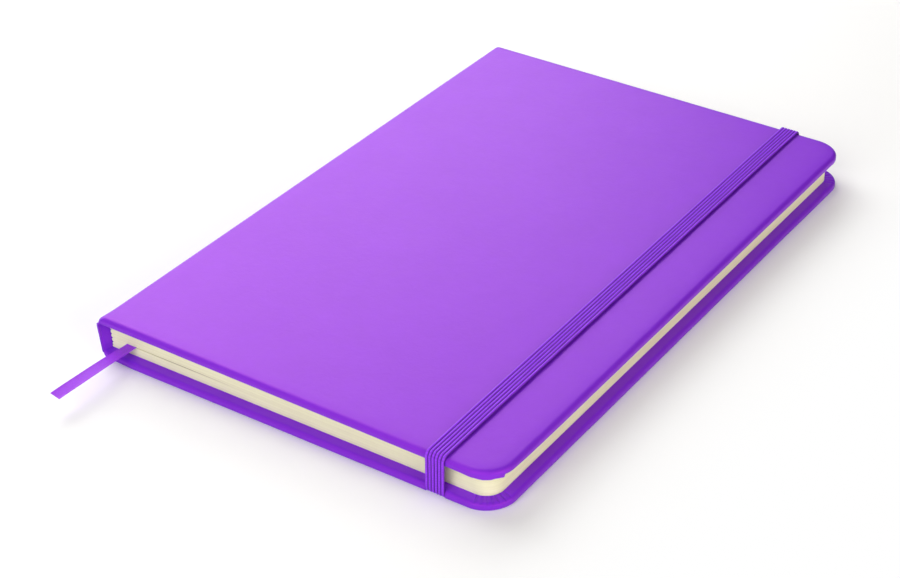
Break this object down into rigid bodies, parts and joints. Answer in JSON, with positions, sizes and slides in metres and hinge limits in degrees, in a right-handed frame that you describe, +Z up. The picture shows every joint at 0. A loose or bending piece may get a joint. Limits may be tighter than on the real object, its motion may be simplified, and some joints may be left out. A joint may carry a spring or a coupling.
{
  "type": "hardcover notebook",
  "caption": "Closed hardcover notebook: leatherette covers with rounded fore corners, sewn cream pages, a ribbed elastic closure and a ribbon marker.",
  "frame": {"origin": "middle of the underside of the closed notebook, where it rests on a table", "axes": "+Y from tail to head along the spine, +X from the spine to the fore edge, +Z up through the covers, front cover on top"},
  "size_m": [0.135, 0.2388, 0.0142],
  "materials": {
    "leatherette": "soft-touch satin",
    "board": "grey bookbinding board",
    "endpaper": "cream, uncoated",
    "pages": "cream, uncoated, trimmed edges",
    "elastic": "woven elastic with raised ribs",
    "ribbon": "satin ribbon",
    "lining": "gauze under paper",
    "thread": "waxed"
  },
  "bodies": {
    "text_block": {"page_block": "pages", "front_flyleaf": "endpaper", "back_flyleaf": "endpaper", "sewing_thread": "thread", "spine_lining": "lining", "spine_leather": "leatherette", "spine_board": "board", "ribbon_marker": "ribbon", "ribbon_tail": "ribbon"},
    "front_cover": {"front_cover_leather": "leatherette", "front_board": "board", "front_pastedown": "endpaper"},
    "back_cover": {"back_cover_leather": "leatherette", "back_board": "board", "back_pastedown": "endpaper", "elastic_band": "elastic"}
  },
  "joints": [
    {"name": "front_hinge", "type": "hinge", "parent": "text_block", "child": "front_cover", "pos_m": [-0.0662, 0, 0.0129], "axis": [0, -1, 0], "range_deg": [0, 180], "deforming": ["elastic_band"]},
    {"name": "back_hinge", "type": "hinge", "parent": "text_block", "child": "back_cover", "pos_m": [-0.0662, 0, 0.0013], "axis": [0, 1, 0], "range_deg": [0, 180], "deforming": ["elastic_band"]}
  ]
}
